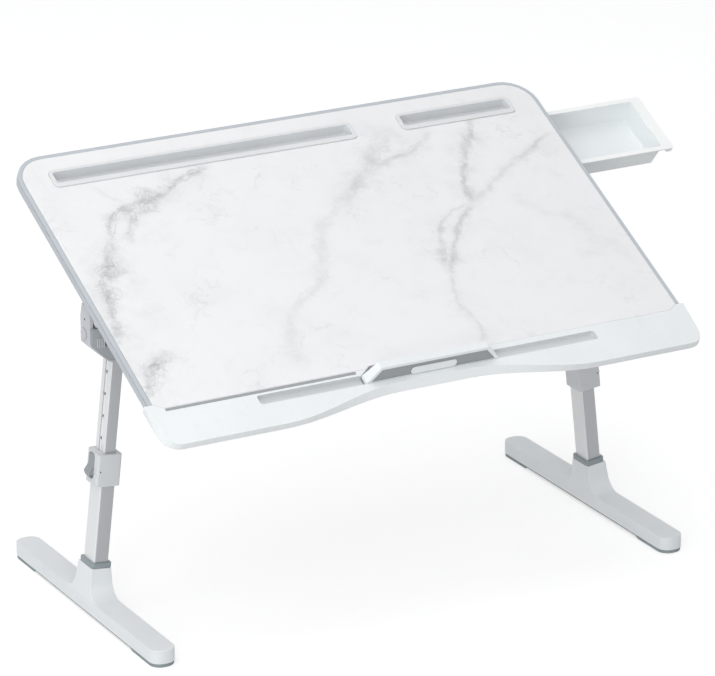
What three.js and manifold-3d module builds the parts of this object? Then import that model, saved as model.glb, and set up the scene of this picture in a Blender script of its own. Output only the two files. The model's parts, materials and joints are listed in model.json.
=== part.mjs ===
// Folding laptop stand with a tilting top, two device slots, a pull-out side drawer,
// a flip-up front stopper and two telescopic legs. Millimetres, +Z up.
// The drawer stands pulled out, the stopper up, the top tilted and the legs lengthened.
import * as THREE from 'three';
import { mergeVertices } from 'three/addons/utils/BufferGeometryUtils.js';
import Module from 'manifold-3d';

const wasm = await Module();
wasm.setup();

// Pose of the stand
const tiltAngle = THREE.MathUtils.degToRad(27);
const splayAngle = THREE.MathUtils.degToRad(6.5);

// Fits
const fit = 0.3;
const slideFit = 0.5;
const throughCut = 1;

// Tabletop: u runs across, v from the front joint to the back, w out of the top face
const topHalfWidth = 350;
const topDepth = 412;
const topThickness = 11;
const topCornerRadius = 40;
const skinThickness = 1.2;
const bandWidth = 5;
const bandGrooveDepth = 1;
const bandGrooveHeight = 1;
const bandGrooveDrop = 1.8;
const frontCutWidth = 17;
const frontCutDepth = 7.3;

// Wrist rest along the front edge
const restOverhang = 5;
const restHalfWidth = topHalfWidth + restOverhang;
const restDepth = 56;
const restThickness = 9;
const restCornerRadius = 22;
const restSideDraft = 3;
const waistFlatHalf = 45;
const waistHalf = 205;
const waistDepth = 20.5;
const waistBevel = 6.9;
const waistSteps = 10;
const recessHalfWidth = 222;
const recessFront = 22;
const recessBack = 8.2;
const recessDepth = 6;
const inlayOuterEnd = topHalfWidth - frontCutWidth;
const inlayInnerEnd = 92;
const inlayWidth = 4.3;
const inlayThickness = 1.5;
const inlayBackWall = 0.8;

// Flip-up stopper, lying on its hinge pin just behind the front wall of the recess
const stopperHalfBase = 87;
const stopperHalfTop = 71;
const stopperHeight = 18;
const stopperLean = 3.7;
const stopperBarrelRadius = 2;
const barrelGap = 0.15;
const stopperPinRadius = 1;
const stopperPinHalf = 80;
const stopperLugHalf = 3;
const stopperLugAt = 45;
const stopperFrame = 3.2;
const stopperPanelDepth = 2.4;
const stopperPanelThickness = 1.2;
const gripHalf = 30;
const gripHeight = 9.5;
const gripThickness = 0.9;
const pocketFloor = 1.7;
const pocketWall = 1.2;
const fingerGap = 0.6;

// Device slot trays
const trayBackMargin = 27;
const trayRimSpan = 28;
const trayRimBack = topDepth - trayBackMargin;
const trayRimFront = trayRimBack - trayRimSpan;
const trayRimHeight = 1.6;
const trayRimWidthFront = 6.7;
const trayRimWidthBack = 4;
const trayRimWidthEnd = 5;
const trayWall = 1.5;
const trayDepth = 12.2;
const trayCornerRadius = 6;
const traySideMargin = 39;
const phoneTrayLength = 159;
const trayGap = 62;
const phoneTrayRight = topHalfWidth - traySideMargin;
const phoneTrayLeft = phoneTrayRight - phoneTrayLength;
const tabletTrayLeft = traySideMargin - topHalfWidth;
const tabletTrayRight = phoneTrayLeft - trayGap;

// Drawer and its rails
const drawerTravel = 148;
const drawerShow = 144;
const drawerLength = 215;
const drawerSpan = 95.4;
const drawerBackMargin = 50.6;
const drawerOuterEnd = topHalfWidth + drawerShow;
const drawerBack = topDepth - drawerBackMargin;
const drawerFront = drawerBack - drawerSpan;
const drawerTopDrop = 13;
const drawerRimThickness = 2;
const drawerRimWidth = 4.6;
const drawerPullWidth = 12.7;
const drawerWall = 1.8;
const drawerHeight = 30;
const drawerDraft = 4;
const drawerCornerRadius = 5;
const drawerPullSkirt = 3.5;
const drawerPullSkirtWall = 2.5;
const thumbDentHalf = 14.5;
const thumbDentReach = 1.8;
const thumbDentDepth = 1.4;
const thumbDentInset = 43;
const railLipReach = 4;
const railThickness = 1.9;
const railWeb = 3.6;
const railFootWidth = 9;
const railFootThickness = 3;
const railEdgeInset = 19;
const railOuterEnd = topHalfWidth - railEdgeInset;
const railLength = 200;
const railInnerEnd = railOuterEnd - railLength;
const railScrewInset = 12;
const drawerStopLength = 5;
const drawerStopHalf = 15;
const drawerStopDrop = 18;

// Screws
const screwShankRadius = 1.6;
const screwHeadRadius = 3.4;
const screwHeadHeight = 1.8;
const screwBite = 5;
const driveRadius = 1.3;
const driveDepth = 1;

// Leg and tilt head: pivot of the tilt, seen from the board and from the floor
const pivotToDrawer = 91.5;
const pivotV = drawerFront - pivotToDrawer;
const pivotDrop = 51.9;
const pivotHeight = 341;
const headInset = 5;
const headOuterX = topHalfWidth - headInset;
const legTopInset = 40.55;
const legFootX = headOuterX - legTopInset + Math.tan(splayAngle) * pivotHeight;
const foldAxisInset = 60;
const foldAxisU = headOuterX - foldAxisInset;
const foldAxisDrop = 20;
const knuckleRadius = 8;
const foldPinRadius = 2.5;
const cheekThickness = 4;
const bracketOuterU = headOuterX - cheekThickness - 2 * fit;
const bracketHalf = 14;
const bracketThickness = 18.3;
const bracketTopGap = 0.6;
const earOuterInset = 18.6;
const earWidth = 22;
const earOuterU = headOuterX - earOuterInset;
const earInnerU = earOuterU - earWidth;
const earHalf = 7;
const earRadius = 9;
const foldBaseHalf = 22;
const foldBaseInnerReach = 23;
const foldBaseWallReach = 11.8;
const foldBaseOuterReach = 11;
const foldBaseInnerU = foldAxisU - foldBaseInnerReach;
const foldBaseWallU = foldAxisU - foldBaseWallReach;
const foldBaseOuterU = foldAxisU + foldBaseOuterReach;
const foldBaseDrop = 22.2;
const foldEarDrop = 29;
const foldEarInset = 9.5;
const tiltPinRadius = 3;
const pivotCapRadius = 7;
const pivotCapHeight = 0.8;

// Tilt head: x insets run from its outer face, heights and drops from the pivot
const headWidth = 57;
const headInnerX = headOuterX - headWidth;
const headFront = 19.5;
const headBack = 8.7;
const headCoreFront = 8;
const headCrownRadius = 21.5;
const headSlotFloor = 13;
const headOuterDrop = 11;
const headKneeInset = 9;
const headKneeDrop = 20;
const headNeckInset = 21;
const headNeckDrop = 31;
const headBottomInset = 27;
const headBottomDrop = 33.5;
const headBottomInnerInset = 8;
const cheekTop = 34;
const cheekFrontTop = 12;
const cheekShoulderY = 15.5;
const cheekShoulderZ = 25;
const cheekCornerY = 13;
const cheekCornerZ = 32;
const cheekTaperZ = 20;
const cheekTaper = 2.2;
const headHoleRadius = 1.2;
const headHoleZ = 18;
const headHoleY = 2.5;
const headHoleDepth = 2;
const sleeveWall = 1.2;

// Tilt release lever, whose thin front plate covers the edges of both cheeks
const releaseTravel = 1.8;
const releaseCover = 1.2;
const releaseTop = 10.5;
const releaseInset = 1.2;
const releaseNotchDrop = 12.5;
const releaseRibs = 5;
const releaseRibWidth = 1;
const releaseRibDepth = 0.9;
const releaseRibPitch = 2.1;
const releaseRibInset = 7;
const releaseRibTop = 1.6;
const headLip = 2.4;
const releaseRibBottom = 12.5;
const cheekFront = headFront - releaseCover - releaseTravel - fit;

// Telescopic tubes, measured along the leg from the floor
const outerTubeX = 19.2;
const outerTubeY = 28.5;
const outerTubeWall = 1.7;
const outerTubeBottom = 46;
const outerTubeTop = 179;
const outerTubeRadius = 3;
const innerTubeX = 15.2;
const innerTubeY = 24.5;
const innerTubeWall = 2;
const innerTubeBottom = 160;
const innerTubeTop = 327;
const innerTubeRadius = 2;
const grooveHalf = 2.8;
const grooveDepth = 0.9;
const holeRadius = 2;
const holePitch = 26.7;
const holeCount = 5;
const detentZ = 184;
const plugThickness = 3;

// Collar with its height lever
const collarBottom = 157;
const collarTop = 195.5;
const collarOuterX = 16.8;
const collarInnerX = 13.6;
const collarFrontY = 17.5;
const collarBackY = 16;
const collarRadius = 3;
const collarBackRadius = 8;
const leverPocketHalf = 7.6;
const leverPocketDepth = 4.4;
const leverPocketBottom = 163;
const leverPocketTop = 194;
const leverHalf = 7.1;
const leverPivotX = 15;
const leverPivotZ = 191;
const leverHeadRadius = 2;
const leverPinRadius = 0.9;
const leverPinHalf = 9.6;
const leverBreakZ = 180;
const leverBulge = 5.6;
const leverBulgeZ = 171;
const leverTipZ = 165.5;
const leverTipX = 20.6;
const leverBackX = 13.2;
const leverHeelZ = 168;
const leverCornerRadius = 5;
const detentRadius = 1.5;
const pinMarkZ = 175;
const pinMarkX = 12.7;
const pinMarkRadius = 0.8;
const pinMarkDepth = 2.3;

// Foot
const footHalfLength = 190;
const footHalfWidth = 15.5;
const footBottom = 4;
const footTop = 20.5;
const footEndRadius = 13.5;
const footFilletStart = 40;
const footFilletRadius = 20;
const footNeckHalfY = 17.4;
const footNeckHalfX = 13.4;
const footNeckTop = 56;
const socketFloor = 44;
const ringHeight = 6;
const ringHalfX = 12.8;
const ringHalfY = 16.8;
const ringRadius = 3.5;
const soleHeight = 3.7;
const soleThin = 1.2;
const solePadLength = 58;
const soleRamp = 6;
const soleInset = 0.6;

const arcSteps = 6;
const roundSegments = 24;

// Colours seen on the stand
const colours = {
  marble: [0xf3f3f3, 0.3, 0],
  board: [0xe3e3e1, 0.7, 0],
  band: [0xbfc5cb, 0.45, 0],
  rest: [0xeef3f4, 0.25, 0],
  inlay: [0xa4a6a8, 0.5, 0],
  tray: [0xe0e3e5, 0.45, 0],
  drawer: [0xe6ebec, 0.35, 0],
  housing: [0xc6cace, 0.5, 0],
  dark: [0x8f949a, 0.5, 0],
  ring: [0x8f9a9f, 0.55, 0],
  foot: [0xe4e8eb, 0.35, 0],
  rubber: [0x8d9798, 0.85, 0],
  aluminium: [0xd2d4d5, 0.35, 0.8],
  steel: [0xb9bcbe, 0.35, 0.9],
  rail: [0xdadddd, 0.5, 0],
};

function material(key) {
  const [color, roughness, metalness] = colours[key];
  return new THREE.MeshStandardMaterial({ color, roughness, metalness });
}

// Solids

function solid(geometry) {
  geometry.deleteAttribute('normal');
  geometry.deleteAttribute('uv');
  const merged = mergeVertices(geometry);
  return new wasm.Manifold(new wasm.Mesh({
    numProp: 3,
    vertProperties: new Float32Array(merged.attributes.position.array),
    triVerts: new Uint32Array(merged.index.array),
  }));
}

function mesh(name, body, colour) {
  const data = body.getMesh();
  const geometry = new THREE.BufferGeometry();
  geometry.setAttribute('position', new THREE.BufferAttribute(data.vertProperties, 3));
  geometry.setIndex(new THREE.BufferAttribute(data.triVerts, 1));
  geometry.computeVertexNormals();
  const made = new THREE.Mesh(geometry, material(colour));
  made.name = name;
  return made;
}

function extrusion(points, from, to) {
  const shape = new THREE.Shape(points.map(([x, y]) => new THREE.Vector2(x, y)));
  const geometry = new THREE.ExtrudeGeometry(shape, { depth: to - from, bevelEnabled: false });
  return geometry.translate(0, 0, from);
}

// Outline in x and y, raised along z
function prismZ(points, from, to) {
  return solid(extrusion(points, from, to));
}

// Outline in y and z, run along x
function prismX(points, a, b) {
  const geometry = extrusion(points, Math.min(a, b), Math.max(a, b));
  const turn = new THREE.Matrix4().makeBasis(
    new THREE.Vector3(0, 1, 0), new THREE.Vector3(0, 0, 1), new THREE.Vector3(1, 0, 0));
  return solid(geometry.applyMatrix4(turn));
}

// Outline in x and z, run along y
function prismY(points, a, b) {
  const geometry = extrusion(points, -Math.max(a, b), -Math.min(a, b));
  const turn = new THREE.Matrix4().makeBasis(
    new THREE.Vector3(1, 0, 0), new THREE.Vector3(0, 0, 1), new THREE.Vector3(0, -1, 0));
  return solid(geometry.applyMatrix4(turn));
}

function boxGeometry(x0, x1, y0, y1, z0, z1) {
  const geometry = new THREE.BoxGeometry(Math.abs(x1 - x0), Math.abs(y1 - y0), Math.abs(z1 - z0));
  return geometry.translate((x0 + x1) / 2, (y0 + y1) / 2, (z0 + z1) / 2);
}

function box(x0, x1, y0, y1, z0, z1) {
  return solid(boxGeometry(x0, x1, y0, y1, z0, z1));
}

function rodX(radius, a, b, y, z) {
  const geometry = new THREE.CylinderGeometry(radius, radius, Math.abs(b - a), roundSegments);
  return solid(geometry.rotateZ(Math.PI / 2).translate((a + b) / 2, y, z));
}

function rodY(radius, a, b, x, z) {
  const geometry = new THREE.CylinderGeometry(radius, radius, Math.abs(b - a), roundSegments);
  return solid(geometry.translate(x, (a + b) / 2, z));
}

function rodZ(radius, a, b, x, y) {
  const geometry = new THREE.CylinderGeometry(radius, radius, Math.abs(b - a), roundSegments);
  return solid(geometry.rotateX(Math.PI / 2).translate(x, y, (a + b) / 2));
}

function arc(cx, cy, radius, from, to, steps = arcSteps) {
  const points = [];
  for (let i = 0; i <= steps; i += 1) {
    const angle = from + ((to - from) * i) / steps;
    points.push([cx + radius * Math.cos(angle), cy + radius * Math.sin(angle)]);
  }
  return points;
}

const quarter = Math.PI / 2;

function roundedRect(x0, x1, y0, y1, radius) {
  return [
    ...arc(x1 - radius, y0 + radius, radius, -quarter, 0),
    ...arc(x1 - radius, y1 - radius, radius, 0, quarter),
    ...arc(x0 + radius, y1 - radius, radius, quarter, 2 * quarter),
    ...arc(x0 + radius, y0 + radius, radius, 2 * quarter, 3 * quarter),
  ];
}

// Moves the points of an outline's prism that lie at one level
function reshapeLevel(geometry, level, move) {
  const position = geometry.attributes.position;
  for (let i = 0; i < position.count; i += 1) {
    if (Math.abs(position.getZ(i) - level) < fit) {
      const [x, y] = move(position.getX(i), position.getY(i));
      position.setXY(i, x, y);
    }
  }
  return geometry;
}

// Tabletop

function topOutline(inset, front) {
  const half = topHalfWidth - inset;
  const radius = topCornerRadius - inset;
  const back = topDepth - inset;
  return [
    [half, front],
    ...arc(half - radius, back - radius, radius, 0, quarter),
    ...arc(radius - half, back - radius, radius, quarter, 2 * quarter),
    [-half, front],
  ];
}

// The board and its skin share the outline with the two cut front corners
function boardOutline(inset) {
  const half = topHalfWidth - inset;
  const cutStart = topHalfWidth - frontCutWidth;
  const outline = topOutline(inset, fit + frontCutDepth);
  return [[cutStart, fit], ...outline, [-cutStart, fit]].filter(([x]) => Math.abs(x) <= half);
}

const stopperThickness = recessFront - recessBack - 2 * fit;
const pinV = stopperBarrelRadius + barrelGap - recessFront;
const pinW = -stopperBarrelRadius - barrelGap;
const stopperBackV = pinV + (stopperThickness - stopperBarrelRadius);
const stopperReach = Math.hypot(stopperBackV - pinV, stopperHeight - pinW);
const notchBack = pinV + stopperReach + fingerGap;
const pocketDepth = stopperBackV - pinV - pinW + fit;
const panelLow = stopperBarrelRadius + fit;

// The stopper's far corners swing wider than its closed outline, so the pocket tapers beyond it
function pocketOutline(grow) {
  const base = stopperHalfBase + grow;
  const top = stopperHalfTop + grow;
  return [
    [base, -recessFront], [base, -recessBack], [top, notchBack],
    [-top, notchBack], [-base, -recessBack], [-base, -recessFront],
  ];
}

function stopperNotch() {
  return prismZ(pocketOutline(fingerGap + pocketWall + fit), -topThickness - throughCut, throughCut);
}

function trayCut(left, right) {
  return prismZ(roundedRect(
    left + trayRimWidthEnd - trayWall - fit, right - trayRimWidthEnd + trayWall + fit,
    trayRimFront + trayRimWidthFront - trayWall - fit, trayRimBack - trayRimWidthBack + trayWall + fit,
    trayCornerRadius - trayWall + fit), -topThickness - throughCut, throughCut);
}

// The skin stops short of the rims, which lie on the board beside it
function rimCut(left, right) {
  return prismZ(roundedRect(left - fit, right + fit, trayRimFront - fit, trayRimBack + fit,
    trayCornerRadius + fit), -topThickness - throughCut, throughCut);
}

function screwHole(u, v) {
  return rodZ(screwShankRadius + fit, -topThickness - throughCut, screwBite + fit - topThickness, u, v);
}

const railSpots = [railInnerEnd + railScrewInset, railOuterEnd - railScrewInset];
const frontRailOuterV = drawerFront - slideFit - railWeb;
const backRailOuterV = drawerBack + slideFit + railWeb;
const frontScrewV = frontRailOuterV - railFootWidth / 2;
const backScrewV = backRailOuterV + railFootWidth / 2;
const backRailSpots = [railInnerEnd + railFootWidth / 2, railOuterEnd - railFootWidth / 2];

function boardCore() {
  let body = prismZ(boardOutline(bandWidth + fit), -topThickness, -skinThickness - fit);
  body = body.subtract(trayCut(tabletTrayLeft, tabletTrayRight));
  body = body.subtract(trayCut(phoneTrayLeft, phoneTrayRight));
  body = body.subtract(stopperNotch());
  for (const u of railSpots) {
    body = body.subtract(screwHole(u, frontScrewV));
  }
  for (const u of backRailSpots) {
    body = body.subtract(screwHole(u, backScrewV));
  }
  return body;
}

function marbleSkin() {
  return prismZ(boardOutline(bandWidth + fit), -skinThickness, 0)
    .subtract(rimCut(tabletTrayLeft, tabletTrayRight))
    .subtract(rimCut(phoneTrayLeft, phoneTrayRight))
    .subtract(stopperNotch());
}

function edgeBand() {
  const front = fit + frontCutDepth;
  const grooveTop = -bandGrooveDrop;
  const grooveBottom = grooveTop - bandGrooveHeight;
  const groove = prismZ(topOutline(-throughCut, front - throughCut), grooveBottom, grooveTop)
    .subtract(prismZ(topOutline(bandGrooveDepth, front - throughCut), grooveBottom, grooveTop));
  return prismZ(topOutline(0, front), -topThickness, 0)
    .subtract(prismZ(topOutline(bandWidth, front - throughCut), -topThickness - throughCut, throughCut))
    .subtract(groove);
}

// Wrist rest

function waistShare(u) {
  const run = (Math.abs(u) - waistFlatHalf) / (waistHalf - waistFlatHalf);
  const t = THREE.MathUtils.clamp(run, 0, 1);
  return (1 + Math.cos(Math.PI * t)) / 2;
}

function restFrontV(u) {
  return waistDepth * waistShare(u) - restDepth;
}

function restOutline() {
  const half = [];
  half.push([topHalfWidth - frontCutWidth, 0]);
  half.push([topHalfWidth - bandWidth - fit, frontCutDepth]);
  half.push([restHalfWidth, frontCutDepth]);
  const centreU = restHalfWidth - restCornerRadius;
  half.push(...arc(centreU, restCornerRadius - restDepth, restCornerRadius, 0, -quarter));
  for (let i = 0; i <= waistSteps; i += 1) {
    const u = waistHalf + ((waistFlatHalf - waistHalf) * i) / waistSteps;
    half.push([u, restFrontV(u)]);
  }
  return [...half, ...half.map(([u, v]) => [-u, v]).reverse()];
}

function restTopPoint(u, v) {
  const cornerStart = restHalfWidth - restCornerRadius;
  const endShare = Math.max(0, (Math.abs(u) - cornerStart) / restCornerRadius);
  const front = v < -recessFront ? 1 : 0;
  const side = v < frontCutDepth ? Math.sign(u) * restSideDraft * endShare : 0;
  return [u - side, v + front * waistBevel * waistShare(u)];
}

function wristRest() {
  const geometry = reshapeLevel(extrusion(restOutline(), -restThickness, 0), 0, restTopPoint);
  const bossHalf = stopperHalfBase + 2 * pocketFloor + fingerGap;
  const bossFloor = -pocketDepth - pocketFloor;
  let body = solid(geometry);
  body = body.add(box(-bossHalf, bossHalf, -recessFront - 2 * pocketFloor, 0, bossFloor, -recessDepth));
  const bossRoof = -topThickness - fit;
  body = body.add(box(-bossHalf, bossHalf, -fit, notchBack + 2 * pocketFloor, bossFloor, bossRoof));
  body = body.add(prismZ(pocketOutline(fingerGap + pocketWall), bossFloor, 0));
  body = body.subtract(box(
    -recessHalfWidth, recessHalfWidth, -recessFront, -recessBack, -recessDepth, throughCut));
  body = body.subtract(prismZ(pocketOutline(fingerGap), -pocketDepth, throughCut));
  const inlayBack = -inlayBackWall;
  body = body.subtract(box(-inlayOuterEnd, -inlayInnerEnd,
    inlayBack - inlayWidth, inlayBack, -inlayThickness - fit, throughCut));
  for (const u of [-stopperLugAt, stopperLugAt]) {
    body = body.add(box(u - stopperLugHalf, u + stopperLugHalf,
      -recessFront - fit, pinV + stopperBarrelRadius, -pocketDepth - fit, pinW));
    body = body.add(rodX(stopperBarrelRadius, u - stopperLugHalf, u + stopperLugHalf, pinV, pinW));
  }
  return body.subtract(rodX(stopperPinRadius + fit, -stopperPinHalf, stopperPinHalf, pinV, pinW));
}

function inlayStrip() {
  return box(fit - inlayOuterEnd, -inlayInnerEnd - fit,
    fit - inlayBackWall - inlayWidth, -inlayBackWall - fit, -inlayThickness, 0);
}

// Stopper: a leaning front face with a framed hollow, on a round hinge barrel

function leanedFrame(geometry) {
  const lean = Math.atan2(stopperLean, stopperHeight - pinW);
  return geometry.rotateX(-lean).translate(0, pinV - stopperBarrelRadius, pinW);
}

function stopperBody() {
  const frontV = pinV - stopperBarrelRadius;
  const profile = [
    [frontV + stopperLean, stopperHeight],
    ...arc(pinV, pinW, stopperBarrelRadius, 2 * quarter, 3 * quarter),
    [stopperBackV, pinW - stopperBarrelRadius / 2],
    [stopperBackV, stopperHeight],
  ];
  const ends = [
    [-stopperHalfBase, -pocketDepth], [stopperHalfBase, -pocketDepth], [stopperHalfBase, 0],
    [stopperHalfTop, stopperHeight], [-stopperHalfTop, stopperHeight], [-stopperHalfBase, 0],
  ];
  let body = prismX(profile, -stopperHalfBase, stopperHalfBase)
    .intersect(prismY(ends, -recessFront - throughCut, notchBack));
  const panel = panelOutline(0);
  body = body.subtract(solid(leanedFrame(panelPrism(panel, -throughCut, stopperPanelDepth))));
  body = body.subtract(rodX(stopperPinRadius + fit, -stopperPinHalf, stopperPinHalf, pinV, pinW));
  for (const u of [-stopperLugAt, stopperLugAt]) {
    const half = stopperLugHalf + fit;
    body = body.subtract(box(u - half, u + half, -recessFront, stopperBackV + throughCut,
      -pocketDepth - throughCut, pinW + stopperBarrelRadius + fit));
  }
  return body;
}

// The hollow's outline in u and height above the hinge line, drawn in at its ends
function panelOutline(inset) {
  const low = panelLow + inset;
  const high = stopperHeight - pinW - stopperFrame - inset;
  const slope = (stopperHalfBase - stopperHalfTop) / stopperHeight;
  const halfLow = stopperHalfBase - stopperFrame - inset - slope * low;
  const halfHigh = stopperHalfBase - stopperFrame - inset - slope * high;
  return [[-halfLow, low], [halfLow, low], [halfHigh, high], [-halfHigh, high]];
}

function panelPrism(points, from, to) {
  const geometry = extrusion(points, from, to);
  const turn = new THREE.Matrix4().makeBasis(
    new THREE.Vector3(-1, 0, 0), new THREE.Vector3(0, 0, 1), new THREE.Vector3(0, 1, 0));
  return geometry.applyMatrix4(turn);
}

function stopperPanel() {
  const back = stopperPanelDepth - fit;
  return solid(leanedFrame(panelPrism(panelOutline(fit), back - stopperPanelThickness, back)));
}

function stopperGrip() {
  const front = stopperPanelDepth - 2 * fit - stopperPanelThickness;
  const low = panelLow + 2 * fit;
  const outline = roundedRect(-gripHalf, gripHalf, low, low + gripHeight, gripHeight / 2 - fit);
  return solid(leanedFrame(panelPrism(outline, front - gripThickness, front)));
}

// Device slots

function slotTray(left, right) {
  const bodyLeft = left + trayRimWidthEnd;
  const bodyRight = right - trayRimWidthEnd;
  const bodyFront = trayRimFront + trayRimWidthFront;
  const bodyBack = trayRimBack - trayRimWidthBack;
  const rim = prismZ(roundedRect(left, right, trayRimFront, trayRimBack, trayCornerRadius),
    -skinThickness, trayRimHeight);
  const shell = prismZ(roundedRect(bodyLeft - trayWall, bodyRight + trayWall,
    bodyFront - trayWall, bodyBack + trayWall, trayCornerRadius - trayWall),
  -trayDepth - trayWall, trayRimHeight / 2);
  const hollow = prismZ(roundedRect(bodyLeft, bodyRight, bodyFront, bodyBack,
    trayCornerRadius - 2 * trayWall), -trayDepth, trayRimHeight + throughCut);
  return rim.add(shell).subtract(hollow);
}

// Drawer

function taperedPrism(x0, x1, y0, y1, radius, bottom, top, draft) {
  const geometry = extrusion(roundedRect(x0, x1, y0, y1, radius), bottom, top);
  const middleX = (x0 + x1) / 2;
  const middleY = (y0 + y1) / 2;
  return solid(reshapeLevel(geometry, bottom, (x, y) => [
    x - Math.sign(x - middleX) * draft, y - Math.sign(y - middleY) * draft]));
}

function drawerTray() {
  const left = drawerOuterEnd - drawerLength;
  const top = -drawerTopDrop;
  const under = top - drawerRimThickness;
  const rim = prismZ(roundedRect(left, drawerOuterEnd, drawerFront, drawerBack, drawerCornerRadius),
    under, top);
  const skirt = prismZ(roundedRect(left, drawerOuterEnd, drawerFront, drawerBack, drawerCornerRadius),
    under - drawerPullSkirt, top)
    .subtract(prismZ(roundedRect(left, drawerOuterEnd - drawerPullSkirtWall,
      drawerFront + drawerPullSkirtWall, drawerBack - drawerPullSkirtWall, drawerCornerRadius),
    under - drawerPullSkirt - throughCut, top + throughCut))
    .intersect(box(drawerOuterEnd - drawerPullWidth + drawerWall, drawerOuterEnd + throughCut,
      0, topDepth, under - drawerPullSkirt, top));
  const outerRight = drawerOuterEnd - drawerPullWidth;
  const bottom = top - drawerHeight;
  const body = taperedPrism(left + drawerRimWidth, outerRight, drawerFront + drawerRimWidth,
    drawerBack - drawerRimWidth, drawerCornerRadius, bottom, top, drawerDraft);
  const inset = drawerRimWidth + drawerWall;
  const hollow = taperedPrism(left + inset, outerRight - drawerWall, drawerFront + inset,
    drawerBack - inset, drawerCornerRadius - drawerWall, bottom + drawerWall, top + throughCut,
    drawerDraft);
  const innerRight = outerRight - drawerWall;
  const dent = box(innerRight - throughCut, innerRight + thumbDentReach,
    drawerBack - thumbDentInset - thumbDentHalf, drawerBack - thumbDentInset + thumbDentHalf,
    top - thumbDentDepth, top + throughCut);
  return rim.add(skirt).add(body).subtract(hollow).subtract(dent);
}

function drawerRail(innerV, outerV, footV, feet) {
  const lipTop = -drawerTopDrop - drawerRimThickness - slideFit;
  const lipBottom = lipTop - railThickness;
  const roof = -topThickness - fit;
  let body = box(railInnerEnd, railOuterEnd, innerV, outerV, lipBottom, lipTop);
  const webInner = innerV < outerV ? outerV - railWeb : outerV + railWeb;
  body = body.add(box(railInnerEnd, railOuterEnd, webInner, outerV, lipBottom, roof));
  for (const u of feet) {
    const half = railFootWidth / 2;
    body = body.add(box(u - half, u + half, webInner, footV, roof - railFootThickness, roof));
  }
  return body;
}

function frontRail() {
  let body = drawerRail(drawerFront + railLipReach, frontRailOuterV,
    frontRailOuterV - railFootWidth, railSpots);
  for (const u of railSpots) {
    body = body.subtract(rodZ(screwShankRadius + fit, -topDepth, 0, u, frontScrewV));
  }
  return body;
}

// The back rail steps down under the phone tray
function backRail() {
  let body = drawerRail(drawerBack - railLipReach, backRailOuterV,
    backRailOuterV + railFootWidth, backRailSpots);
  const traySlack = trayWall + 2 * slideFit;
  body = body.subtract(box(
    phoneTrayLeft + trayRimWidthEnd - traySlack, phoneTrayRight - trayRimWidthEnd + traySlack,
    drawerBack + fit, topDepth, -trayDepth - trayWall - slideFit, 0));
  for (const u of backRailSpots) {
    body = body.subtract(rodZ(screwShankRadius + fit, -topDepth, 0, u, backScrewV));
  }
  return body;
}

function screw(u, v, seat) {
  const head = rodZ(screwHeadRadius, seat - fit - screwHeadHeight, seat - fit, u, v);
  const shank = rodZ(screwShankRadius, seat - screwHeadHeight, screwBite - topThickness, u, v);
  const slot = rodZ(driveRadius, seat - fit - screwHeadHeight - throughCut,
    seat - fit - screwHeadHeight + driveDepth, u, v);
  return head.add(shank).subtract(slot);
}

function drawerStop() {
  const middle = (drawerFront + drawerBack) / 2;
  const right = drawerOuterEnd - drawerLength - drawerTravel - slideFit;
  return box(right - drawerStopLength, right, middle - drawerStopHalf, middle + drawerStopHalf,
    -topThickness - fit - drawerStopDrop, -topThickness - fit);
}

// Fold hinge under the board

function foldBase(side) {
  const roof = -topThickness - fit;
  const lugInner = bracketHalf + slideFit;
  let body = box(side * foldBaseInnerU, side * foldBaseWallU, pivotV - foldBaseHalf,
    pivotV + foldBaseHalf, -foldBaseDrop, roof);
  for (const end of [-1, 1]) {
    body = body.add(box(side * foldBaseInnerU, side * foldBaseOuterU, pivotV + end * lugInner,
      pivotV + end * foldBaseHalf, -foldBaseDrop, roof));
    body = body.add(box(side * (foldAxisU - foldEarInset), side * foldBaseOuterU,
      pivotV + end * lugInner, pivotV + end * foldBaseHalf, -foldEarDrop, roof));
  }
  return body.subtract(rodY(foldPinRadius + fit, pivotV - foldBaseHalf - throughCut,
    pivotV + foldBaseHalf + throughCut, side * foldAxisU, -foldAxisDrop));
}

function foldPin(side) {
  return rodY(foldPinRadius, pivotV - foldBaseHalf, pivotV + foldBaseHalf,
    side * foldAxisU, -foldAxisDrop);
}

function swingBracket(side) {
  const top = -topThickness - bracketTopGap;
  const bottom = top - bracketThickness;
  const front = pivotV - bracketHalf;
  const back = pivotV + bracketHalf;
  let body = box(side * foldAxisU, side * bracketOuterU, front, back, bottom, top);
  body = body.add(rodY(knuckleRadius, front, back, side * foldAxisU, -foldAxisDrop));
  const earProfile = [
    [pivotV + earHalf, bottom + fit],
    [pivotV - earHalf, bottom + fit],
    ...arc(pivotV, -pivotDrop, earRadius, 2 * quarter, 4 * quarter, 2 * arcSteps),
  ];
  body = body.add(prismX(earProfile, side * earInnerU, side * earOuterU));
  body = body.subtract(rodX(tiltPinRadius + fit, side * (earInnerU - throughCut),
    side * (earOuterU + throughCut), pivotV, -pivotDrop));
  return body.subtract(rodY(foldPinRadius + fit, front - throughCut, back + throughCut,
    side * foldAxisU, -foldAxisDrop));
}

// Tilt head and leg, placed from the floor up

function leanMatrix(side) {
  return new THREE.Matrix4().makeRotationY(-side * splayAngle).setPosition(side * legFootX, 0, 0);
}

const sleeveHalfX = innerTubeX / 2 + fit + sleeveWall;
const sleeveHalfY = innerTubeY / 2 + fit + sleeveWall;
const releaseThickness = headFront - sleeveHalfY - fit - releaseTravel;

// A block square to the leaning leg
function leanBlock(side, halfX, halfY, from, to) {
  return solid(boxGeometry(-halfX, halfX, -halfY, halfY, from, to).applyMatrix4(leanMatrix(side)));
}

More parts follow.
